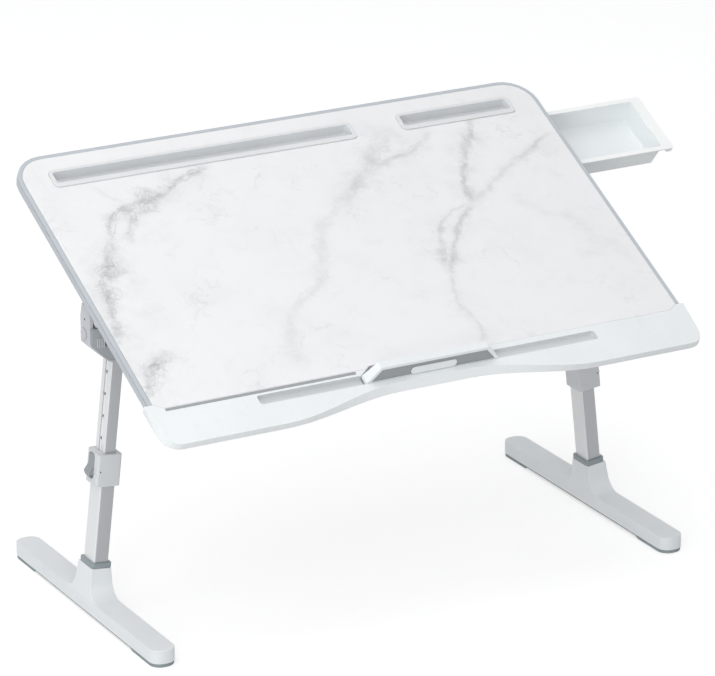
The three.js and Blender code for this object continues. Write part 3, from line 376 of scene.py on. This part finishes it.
def marble(name):
    s = Shader(name)
    place = s.nodes.new("ShaderNodeMapping")
    place.vector_type = "TEXTURE"
    place.inputs["Location"].default_value = BOARD_ORIGIN
    place.inputs["Rotation"].default_value = (TILT, 0, 0)
    s.links.new(s.coordinates, place.inputs["Vector"])
    board = s.vector("SCALE", place.outputs["Vector"], scale=1 / MM)
    board = s.vector("MULTIPLY", board, (1, 1, 0))

    ways = []
    for scale, reach, start in WANDERS:
        shifted = s.vector("ADD", board, (start, 0, 0))
        wander = s.noise(scale, detail=5, roughness=0.6, vector=shifted, output="Color")
        wander = s.vector("SCALE", s.vector("SUBTRACT", wander, (0.5, 0.5, 0.5)), scale=reach)
        point = s.vector("MULTIPLY", s.vector("ADD", board, wander), (1, 1, 0))
        split = s.nodes.new("ShaderNodeSeparateXYZ")
        s.links.new(point, split.inputs[0])
        ways.append((split.outputs["X"], split.outputs["Y"]))

    # The veins on these ways. The last way's point also carries the crackle, the cells and the clouds.
    width = s.ramp(s.noise(scale=0.03, detail=2, vector=board), 0.3, 0.75, 0.55, 1.5)
    cores, halos = 0.0, 0.0
    for *points, half, depth, braided in VEINS:
        core, halo = vein_marks(s, *ways[0], width, points, half, depth)
        cores = s.math("MAXIMUM", core, cores)
        halos = s.math("MAXIMUM", halo, halos)
        for way in ways[1:] if braided else ():
            core, halo = vein_marks(s, *way, width, points, half * STRAND_SHARE, depth)
            cores = s.math("MAXIMUM", core, cores)

    # Frayed cores, blotted and crackled halos, and the cells
    fray = s.ramp(s.noise(scale=0.05, detail=6, roughness=0.7, vector=board), 0.28, 0.66, 0.15, 1.1)
    ridges = s.noise(scale=0.085, detail=5, roughness=0.6, vector=point)
    crackle = s.ramp(s.math("ABSOLUTE", s.math("SUBTRACT", ridges, 0.5)), 0.0, 0.06, 1.0, 0.0)
    blots = s.ramp(s.noise(scale=0.04, detail=4, roughness=0.6, vector=board), 0.35, 0.7, 0.08, 0.62)
    halos = s.math("MULTIPLY", halos, s.math("MULTIPLY_ADD", crackle, 0.5, blots))
    grey = s.math("ADD", s.math("MULTIPLY", cores, fray), halos)
    grey = s.math("ADD", grey, cell_marks(s, point))

    # Faint clouds, mist and hair-thin threads over the whole board
    clouds = s.ramp(s.noise(scale=0.011, detail=4, roughness=0.6, vector=point), 0.45, 0.75, 0.0, 0.05)
    mist = s.ramp(s.noise(scale=0.03, detail=5, roughness=0.65, vector=point), 0.52, 0.8, 0.0, 0.07)
    threads = s.noise(scale=0.014, detail=4, roughness=0.55, vector=point)
    hair = s.ramp(s.math("ABSOLUTE", s.math("SUBTRACT", threads, 0.5)), 0.0, 0.012, 0.10, 0.0)
    hair = s.math("MULTIPLY", hair, s.ramp(s.noise(scale=0.012, detail=2, vector=board), 0.5, 0.62))
    total = s.math("ADD", s.math("ADD", grey, clouds), s.math("ADD", mist, hair), clamp=True)

    fine = s.noise(scale=1500, detail=2)
    s.bump(fine, 0.008 * MM)
    return s.finish(s.blend(total, GROUND, VEIN_GREY), s.ramp(fine, 0.3, 0.7, 0.3, 0.38))


MATERIALS = {
    "marble": marble("marble_laminate"),
    "board": fibreboard("fibreboard", linear(206, 203, 198)),
    "band": plastic("edge_band_plastic", linear(190, 196, 202), 0.42),
    "rest": plastic("wrist_rest_gloss", linear(236, 240, 241), 0.27, grain=0.004, scuffs=0.015),
    # The inlay's grey is painted shadow: it stands for the shadow line at the board's front edge.
    "inlay": plastic("inlay_painted_shadow", linear(160, 162, 165), 0.5),
    "tray": plastic("slot_tray_plastic", linear(225, 227, 229), 0.45),
    "drawer": plastic("drawer_plastic", linear(240, 244, 245), 0.32, grain=0.012),
    "housing": plastic("housing_plastic", linear(217, 220, 223), 0.5, grain=0.03),
    "dark": plastic("lever_grey", linear(150, 155, 160), 0.48, grain=0.03),
    "ring": plastic("ring_grey", linear(146, 156, 161), 0.5, grain=0.03),
    "foot": plastic("foot_plastic", linear(231, 235, 238), 0.38),
    "rubber": rubber("sole_rubber", linear(150, 160, 162)),
    "aluminium": drawn_metal("tube_aluminium", linear(226, 228, 229), 0.34, 0.3),
    "steel": turned_steel("pin_steel", linear(186, 188, 190)),
    "rail": plastic("rail_plastic", linear(222, 224, 225), 0.5),
    # The trough's faces get a darker copy of the wrist rest's white: painted shade in the recess.
    "recess": plastic("recess_painted_shade", linear(214, 217, 218), 0.5, grain=0.03),
    # The heads and pivot caps get a darker copy of the housing plastic: painted shade from the board above.
    "head": plastic("head_painted_shade", linear(198, 201, 206), 0.5, grain=0.03),
    "panel": plastic("panel_plastic", linear(155, 159, 161), 0.48, grain=0.03),
    # The drawer's rim top gets a brighter copy of the drawer plastic: painted light that sets it off from
    # the floor.
    "rim": plastic("drawer_rim_painted_light", linear(252, 253, 253), 0.32, grain=0.012),
    # The release levers get a lighter copy of the lever grey: painted light where the board shades them.
    "release": plastic("release_painted_light", linear(176, 181, 186), 0.5, grain=0.03),
    # The ribs' fronts get a near-white grey: a painted highlight on each rib.
    "rib": plastic("rib_painted_highlight", linear(226, 229, 233), 0.5, grain=0.03),
    # The tubes' front and back faces get a darker copy of the aluminium: painted shade on those sides.
    "tube_front": drawn_metal("tube_front_painted_shade", linear(178, 180, 183), 0.34, 0.5),
    # The groove floor gets a near-white copy of the aluminium: painted light in the groove.
    "groove": drawn_metal("groove_painted_light", linear(246, 247, 248), 0.34, 0.2),
    "hole": plastic("hole_shade", linear(70, 72, 76), 0.7, grain=0.03),
}

# Nodes whose finish isn't that of their slot: the stopper's panel has its own grey, the heads and caps take
# painted shade, and the release levers take painted light
OWN_FINISH = {"stopper_panel": "panel"}
for name in SIDES:
    OWN_FINISH["tilt_head_" + name] = "head"
    OWN_FINISH["pivot_cap_" + name] = "head"
    OWN_FINISH["tilt_release_" + name] = "release"


# Rounded edges

# Rounding of each kind of piece, in millimetres, with its number of segments
EASE = {
    "marble_skin": (0.15, 1),
    "edge_band": (0.3, 2),
    "wrist_rest": (1.3, 4),
    "drawer_tray": (0.8, 3),
    "stopper_bar": (0.7, 3),
}
for name in SIDES:
    EASE["foot_" + name] = (1.1, 3)
    EASE["collar_" + name] = (0.9, 3)
    EASE["tilt_head_" + name] = (0.8, 3)
    EASE["pivot_cap_" + name] = (0.15, 1)
    EASE["tilt_release_" + name] = (0.1, 1)
PLAIN_EASE = (0.4, 2)

# An edge that turns by more than EDGE_ANGLE is rounded. Faces within FLAT_ANGLE of each other become one,
# and so do points within SAME_PLACE.
EDGE_ANGLE = math.radians(32)
FLAT_ANGLE = math.radians(0.6)
SAME_PLACE = 0.004 * MM

# The wrist rest's long trough and the drawer's inner floor, on the board
RECESS_HALF = 222 * MM
RECESS_FRONT = -22 * MM
RECESS_BACK = -8.2 * MM
RECESS_TOP = -0.9 * MM
RECESS_FLOOR = -6.5 * MM
DRAWER_FLOOR = -41.2 * MM
NEAR = 0.5 * MM


def recess_corner(a, b):
    """An upright edge at one end of the wrist rest's trough."""
    upright = max(abs(a.x - b.x), abs(a.y - b.y)) < NEAR
    at_end = abs(abs(a.x) - RECESS_HALF) < NEAR
    at_side = min(abs(a.y - RECESS_FRONT), abs(a.y - RECESS_BACK)) < NEAR
    return upright and at_end and at_side


def drawer_floor_edge(a, b):
    """An edge where the drawer's inner floor meets its walls."""
    return abs(a.z - DRAWER_FLOOR) < NEAR and abs(b.z - DRAWER_FLOOR) < NEAR


# Edges that are rounded more than the rest of their piece: which, radius and segments
FILLETS = {
    "wrist_rest": (recess_corner, 3.5 * MM, 5),
    "drawer_tray": (drawer_floor_edge, 4.0 * MM, 5),
}


def round_off(work, chosen, radius, segments):
    """Rounds the edges that pass a test on their two ends, given as points of the tilted board."""
    edges = [edge for edge in work.edges if chosen(*(TO_BOARD @ vertex.co for vertex in edge.verts))]
    bmesh.ops.bevel(work, geom=edges, offset=radius, segments=segments, profile=0.5, affect="EDGES",
                    clamp_overlap=True)


def smooth(mesh):
    for polygon in mesh.polygons:
        polygon.use_smooth = True
    mesh.set_sharp_from_angle(angle=EDGE_ANGLE)


def own(obj, node):
    """The piece stands for a node, rides on its body and takes its slot and material."""
    obj.data.materials.clear()
    obj.data.materials.append(MATERIALS[OWN_FINISH.get(node, SLOT_OF[node])])
    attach(obj, BODY_OF[node])
    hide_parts(node)
    return obj


def eased(node, radius, segments):
    """A node's own shape with its edges rounded over, as a moulding or a machined part has."""
    mesh = frame["nodes"][node].data.copy()
    mesh.name = node + ".eased"
    piece = bpy.data.objects.new(node + ".eased", mesh)
    bpy.context.scene.collection.objects.link(piece)
    work = bmesh.new()
    work.from_mesh(mesh)
    bmesh.ops.remove_doubles(work, verts=work.verts, dist=SAME_PLACE)
    bmesh.ops.dissolve_limit(work, angle_limit=FLAT_ANGLE, verts=work.verts, edges=work.edges)
    if node in FILLETS:
        round_off(work, *FILLETS[node])
    work.to_mesh(mesh)
    work.free()
    smooth(mesh)
    modifier = piece.modifiers.new("ease", "BEVEL")
    modifier.width = radius * MM
    modifier.segments = segments
    modifier.limit_method = "ANGLE"
    modifier.angle_limit = EDGE_ANGLE
    modifier.use_clamp_overlap = True
    modifier.harden_normals = True
    bpy.context.view_layer.update()
    evaluated = piece.evaluated_get(bpy.context.evaluated_depsgraph_get())
    piece.data = bpy.data.meshes.new_from_object(evaluated)
    piece.modifiers.clear()
    return own(piece, node)


# Faces with a second finish, each of them painted light or shade: a shaded trough, a lit drawer rim, shaded
# tube fronts and backs, a lit groove floor, shaded holes and lit rib fronts. Each test gets a face's middle
# and its normal.

# How far a face of the drawer's rim looks up, and a face of a tube to the front or the back
RIM_UP = 0.5
TUBE_FRONT = 0.8
# On the board: the height above which the drawer is rim
RIM_TOP = -14 * MM
# In the leg's frame: the inner tube's groove and the pin mark on the collar
GROOVE_FLOOR = 6.7 * MM
GROOVE_NEAR = 0.25 * MM
GROOVE_HALF = 3 * MM
MARK_X, MARK_Z = 12.7 * MM, 175 * MM
MARK_RADIUS, MARK_DEPTH = 1 * MM, 15 * MM
# From the floor under the tilt axis: the head's screw hole and the release lever's ribs
HOLE_Y, HOLE_Z = -2.5 * MM, PIVOT_HEIGHT + 18 * MM
HOLE_RADIUS, HOLE_DEPTH = 1.35 * MM, 2.2 * MM
RIB_FRONT = 20 * MM


def in_recess(point, normal):
    """The trough in the wrist rest, below the top face."""
    across, back, height = TO_BOARD @ point
    trough = abs(across) < RECESS_HALF + NEAR and RECESS_FRONT - NEAR < back < RECESS_BACK + NEAR
    return trough and RECESS_FLOOR < height < RECESS_TOP


def on_rim(point, normal):
    """The top of the drawer's rim."""
    return (TO_BOARD @ point).z > RIM_TOP and (TO_BOARD.to_3x3() @ normal).z > RIM_UP


def faces_along(point, normal):
    """The front and the back of a tube."""
    return abs(normal.y) > TUBE_FRONT


def groove_floor(side):
    """The floor of the long groove in an inner tube's outer side."""
    def chosen(point, normal):
        inner = TO_LEG[side] @ point
        return abs(inner.x * SIDES[side] - GROOVE_FLOOR) < GROOVE_NEAR and abs(inner.y) < GROOVE_HALF
    return chosen


def collar_mark(side):
    """The inside of the small pin hole in a collar's front."""
    def chosen(point, normal):
        inner = TO_LEG[side] @ point
        across = math.hypot(inner.x - SIDES[side] * MARK_X, inner.z - MARK_Z)
        return across < MARK_RADIUS and inner.y < -MARK_DEPTH
    return chosen


def head_hole(side):
    """The inside of the screw hole in a head's outer cheek."""
    def chosen(point, normal):
        inner = point - FLOOR_ORIGIN
        across = math.hypot(inner.y - HOLE_Y, inner.z - HOLE_Z)
        return across < HOLE_RADIUS and inner.x * SIDES[side] > HEAD_OUTER - HOLE_DEPTH
    return chosen


def rib_face(point, normal):
    """The front of the ribs on a release lever."""
    return (point - FLOOR_ORIGIN).y < -RIB_FRONT


PAINTS = [("wrist_rest", "recess", in_recess), ("drawer_tray", "rim", on_rim)]
for name in SIDES:
    PAINTS += [
        ("inner_tube_" + name, "tube_front", faces_along),
        ("outer_tube_" + name, "tube_front", faces_along),
        ("inner_tube_" + name, "groove", groove_floor(name)),
        ("collar_" + name, "hole", collar_mark(name)),
        ("tilt_head_" + name, "hole", head_hole(name)),
        ("tilt_release_" + name, "rib", rib_face),
    ]


def paint(piece, finish, chosen):
    """A second finish of painted light or shade on the faces that pass a test."""
    piece.data.materials.append(MATERIALS[finish])
    index = len(piece.data.materials) - 1
    for polygon in piece.data.polygons:
        if chosen(polygon.center, polygon.normal):
            polygon.material_index = index


for node in frame["nodes"]:
    piece = eased(node, *EASE.get(node, PLAIN_EASE))
    for painted, finish, chosen in PAINTS:
        if painted == node:
            paint(piece, finish, chosen)


# Stage

FLOOR_HALF = 20
FLOOR_DROP = 0.2 * MM
FLOOR_GLOW = 0.58
WORLD_STRENGTH = 0.5
WORLD_TINT = (0.98, 0.99, 1.0, 1)
WHITE = (1, 1, 1, 1)

# Each lamp's name, place and size in metres, and power in watts. All of them point at AIM.
LAMPS = (
    ("top", (-0.6, 0.5, 3.4), (3.2, 3.2), 34),
    ("key", (-1.6, -2.8, 2.5), (2.8, 2.4), 43),
    ("side", (-3.2, -0.8, 1.8), (2.2, 2.2), 5),
    ("low", (-3.4, 0.0, 0.5), (2.0, 0.8), 13),
    ("fill", (-1.8, -2.2, 0.35), (1.0, 0.5), 10),
)
AIM = Vector((0, 0, 0.2))
# A lamp below this height makes no highlight, so the flat top shows its pattern from the side
LOWEST_MIRRORED = 2.0


def direct_ray(nodes, links):
    """1 for what the camera sees straight, in a reflection or through something, 0 for bounced light."""
    path = nodes.new("ShaderNodeLightPath")
    seen = path.outputs["Is Camera Ray"]
    for kind in ("Is Glossy Ray", "Is Transmission Ray"):
        either = nodes.new("ShaderNodeMath")
        either.operation = "MAXIMUM"
        links.new(seen, either.inputs[0])
        links.new(path.outputs[kind], either.inputs[1])
        seen = either.outputs[0]
    return seen


def pick_shader(nodes, links, factor, off, on, target):
    mix = nodes.new("ShaderNodeMixShader")
    links.new(factor, mix.inputs[0])
    links.new(off, mix.inputs[1])
    links.new(on, mix.inputs[2])
    links.new(mix.outputs[0], target)


def make_floor():
    """A pale floor that keeps its shadows and shows white where it is open."""
    mesh = bpy.data.meshes.new("floor")
    corners = ((-1, -1), (1, -1), (1, 1), (-1, 1))
    mesh.from_pydata([(x * FLOOR_HALF, y * FLOOR_HALF, 0) for x, y in corners], [], [(0, 1, 2, 3)])
    floor = bpy.data.objects.new("floor", mesh)
    floor.location.z = -FLOOR_DROP
    bpy.context.scene.collection.objects.link(floor)
    s = Shader("floor")
    grain = s.noise(scale=30, detail=3)
    tone = s.blend(grain, linear(200, 200, 200), linear(203, 203, 203))
    mesh.materials.append(s.finish(tone, 0.9, specular=0.1))
    plain = s.surface.outputs[0]
    glow = s.nodes.new("ShaderNodeEmission")
    glow.inputs["Color"].default_value = WHITE
    glow.inputs["Strength"].default_value = FLOOR_GLOW
    total = s.nodes.new("ShaderNodeAddShader")
    s.links.new(plain, total.inputs[0])
    s.links.new(glow.outputs[0], total.inputs[1])
    target = s.nodes["Material Output"].inputs["Surface"]
    pick_shader(s.nodes, s.links, direct_ray(s.nodes, s.links), plain, total.outputs[0], target)


def make_world():
    """Soft light from all round, with a white backdrop."""
    world = bpy.data.worlds.new("studio")
    bpy.context.scene.world = world
    world.use_nodes = True
    nodes, links = world.node_tree.nodes, world.node_tree.links
    light = nodes["Background"]
    light.inputs["Color"].default_value = WORLD_TINT
    light.inputs["Strength"].default_value = WORLD_STRENGTH
    backdrop = nodes.new("ShaderNodeBackground")
    backdrop.inputs["Color"].default_value = WHITE
    target = nodes["World Output"].inputs["Surface"]
    pick_shader(nodes, links, direct_ray(nodes, links), light.outputs[0], backdrop.outputs[0], target)


def make_lamp(name, place, size, power):
    lamp = bpy.data.objects.new(name, bpy.data.lights.new(name, "AREA"))
    lamp.data.shape = "RECTANGLE"
    lamp.data.size, lamp.data.size_y = size
    lamp.data.energy = power
    lamp.location = place
    lamp.rotation_euler = (AIM - Vector(place)).to_track_quat("-Z", "Y").to_euler()
    lamp.visible_glossy = place[2] > LOWEST_MIRRORED
    bpy.context.scene.collection.objects.link(lamp)


make_floor()
make_world()
for lamp_row in LAMPS:
    make_lamp(*lamp_row)
bpy.context.scene.view_settings.view_transform = "Standard"
